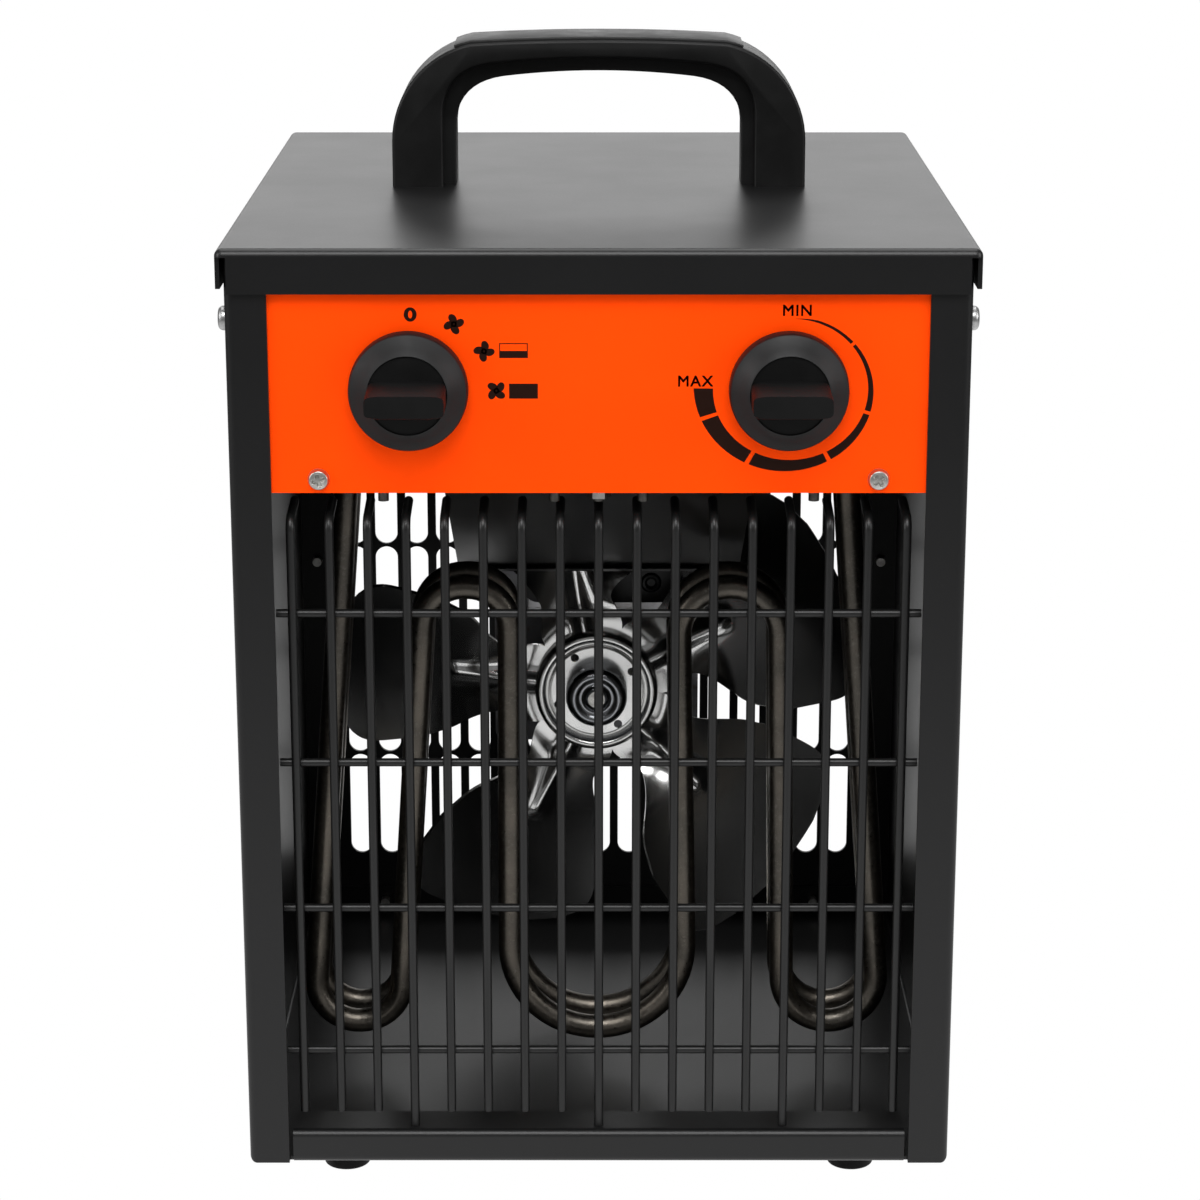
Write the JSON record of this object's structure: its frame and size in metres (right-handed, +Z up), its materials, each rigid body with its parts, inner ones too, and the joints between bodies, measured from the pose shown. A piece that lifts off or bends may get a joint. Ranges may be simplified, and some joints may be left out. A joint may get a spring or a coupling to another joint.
{
  "type": "fan heater",
  "caption": "Box-shaped portable fan heater with an arched carry handle, orange control panel with two knobs, wire front grille, tube elements and a rear fan.",
  "frame": {"origin": "middle of the whole heater's box, on the surface that the rubber feet stand on", "axes": "+X to the right seen from the front, +Y from the grille to the inlet plate at the back, +Z up"},
  "size_m": [0.1952, 0.241, 0.3022],
  "materials": {
    "housing_paint": "fine textured black powder coat, semi gloss",
    "orange_paint": "fine textured orange powder coat",
    "interior_steel": "satin dark coat",
    "wire_coat": "satin black coat on wire",
    "zinc_steel": "zinc plated",
    "black_screw": "dull zinc plate",
    "handle_plastic": "satin moulded black",
    "knob_plastic": "satin moulded black",
    "switch_plastic": "moulded ivory",
    "foot_rubber": "matt",
    "element_sheath": "heat darkened stainless tube",
    "fan_steel": "bright pressed sheet",
    "hub_steel": "polished, darkened",
    "lamination": "varnished stack",
    "coil_tape": "varnished tape",
    "bronze": "sintered",
    "lead_red": "sleeved lead",
    "gland_plastic": "moulded black"
  },
  "bodies": {
    "housing": {"body_shell": "housing_paint", "top_cover": "housing_paint", "cover_screws": "black_screw", "rubber_feet": "foot_rubber", "foot_screws": "zinc_steel", "handle": "handle_plastic", "handle_screws": "zinc_steel", "control_panel": "orange_paint", "panel_screws": "zinc_steel", "side_screws": "black_screw", "compartment_tray": "interior_steel", "tray_screws": "zinc_steel", "earth_nut": "zinc_steel", "terminal_block": "switch_plastic", "rotary_switch": "switch_plastic", "thermostat": "switch_plastic", "gear_clips": "zinc_steel", "bushing_nuts": "zinc_steel", "thermal_cutout": "switch_plastic", "internal_leads": "lead_red", "heat_deflector": "interior_steel", "front_grille": "wire_coat", "heating_element_front": "element_sheath", "heating_element_rear": "element_sheath", "element_bushes": "zinc_steel", "element_nuts": "zinc_steel", "motor_stator": "lamination", "motor_coil": "coil_tape", "front_bearing_bridge": "zinc_steel", "rear_bearing_bridge": "zinc_steel", "bearing_bushes": "bronze", "bearing_screws": "zinc_steel", "motor_bracket": "interior_steel", "motor_screws": "zinc_steel", "bracket_screws": "zinc_steel", "rear_frame": "interior_steel", "rear_plate": "housing_paint", "rear_plate_screws": "zinc_steel", "cable_gland": "gland_plastic", "gland_locknut": "gland_plastic"},
    "selector": {"selector_knob": "knob_plastic", "selector_spindle": "zinc_steel"},
    "temperature_dial": {"thermostat_knob": "knob_plastic", "thermostat_spindle": "zinc_steel"},
    "rotor": {"fan_impeller": "fan_steel", "fan_hub": "hub_steel", "motor_shaft": "zinc_steel", "motor_rotor": "lamination"}
  },
  "joints": [
    {"name": "selector_turn", "type": "hinge", "parent": "housing", "child": "selector", "pos_m": [-0.0485, -0.09795, 0.224], "axis": [0, 1, 0], "range_deg": [0, 90]},
    {"name": "thermostat_turn", "type": "hinge", "parent": "housing", "child": "temperature_dial", "pos_m": [0.0485, -0.09795, 0.224], "axis": [0, 1, 0], "range_deg": [0, 270]},
    {"name": "fan_spin", "type": "hinge", "parent": "housing", "child": "rotor", "pos_m": [-0.0007, 0.01655, 0.1074], "axis": [0, 1, 0], "continuous": true}
  ]
}
